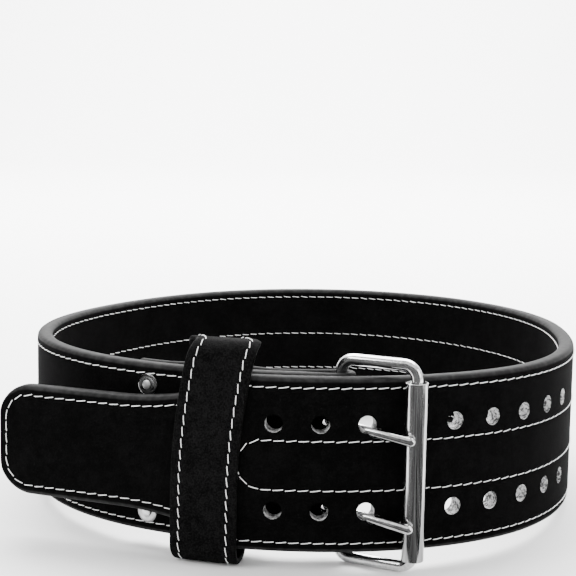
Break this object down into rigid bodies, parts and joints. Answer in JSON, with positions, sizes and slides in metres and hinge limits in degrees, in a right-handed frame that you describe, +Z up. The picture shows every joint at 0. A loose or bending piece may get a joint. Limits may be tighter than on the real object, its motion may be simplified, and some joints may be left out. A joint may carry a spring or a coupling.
{
  "type": "weightlifting belt",
  "caption": "Wide, thick suede leather weightlifting belt, closed in a ring by a roller buckle with prongs in punched holes, with a keeper loop and a narrowed free tongue.",
  "frame": {"origin": "centre of the underside of the box round the whole belt, on the ground", "axes": "+Z up, along the strap's width; the buckle and the keeper loop face -Y; the free tongue points to -X"},
  "size_m": [0.369, 0.405, 0.1315],
  "materials": {
    "suede": "black suede with a fine nap",
    "keeper_suede": "black suede, a little greyer and more grained",
    "chrome": "bright plated wire",
    "roller_chrome": "bright plated sheet, drawn lengthwise",
    "rivet_steel": "satin nickel plate",
    "burr_steel": "dark polished steel"
  },
  "bodies": {
    "root": {"belt_strap": "suede", "keeper_loop": "keeper_suede", "buckle_frame": "chrome", "buckle_roller": "roller_chrome", "prong_upper": "chrome", "prong_lower": "chrome", "rivet_near_upper": "rivet_steel", "rivet_near_middle": "rivet_steel", "rivet_near_lower": "rivet_steel", "rivet_far_upper": "rivet_steel", "rivet_far_middle": "rivet_steel", "rivet_far_lower": "rivet_steel", "burr_near_upper": "burr_steel", "burr_near_middle": "burr_steel", "burr_near_lower": "burr_steel", "burr_far_upper": "burr_steel", "burr_far_middle": "burr_steel", "burr_far_lower": "burr_steel"}
  },
  "joints": []
}
